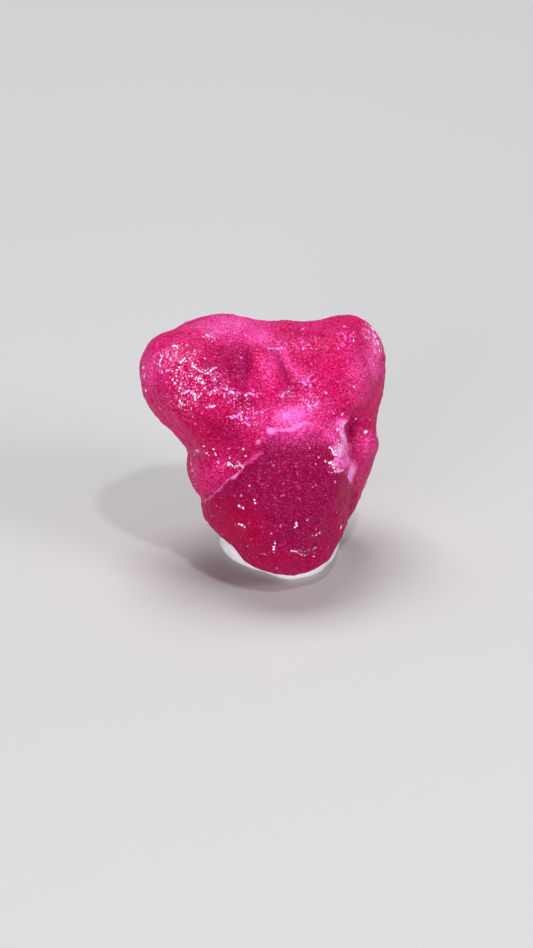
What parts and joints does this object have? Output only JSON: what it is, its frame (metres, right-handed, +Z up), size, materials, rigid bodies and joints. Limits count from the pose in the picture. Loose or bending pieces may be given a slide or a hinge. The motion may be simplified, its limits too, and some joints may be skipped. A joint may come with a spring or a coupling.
{
  "type": "rubellite crystal specimen",
  "caption": "Etched, rounded rubellite crystal, wider at its top than its foot, standing in a small pad of white mineral tack.",
  "frame": {"origin": "on the tabletop, at the middle of the putty's underside, below the crystal", "axes": "+Z up from the tabletop, -Y the way the crystal's broad front face looks, +X to the right seen from the front"},
  "size_m": [0.0154, 0.0151, 0.0152],
  "materials": {
    "rubellite": "translucent crimson crystal with a finely etched, frosted skin",
    "mineral_tack": "matt white kneaded putty"
  },
  "bodies": {
    "root": {"rubellite": "rubellite", "putty_pad": "mineral_tack"}
  },
  "joints": []
}
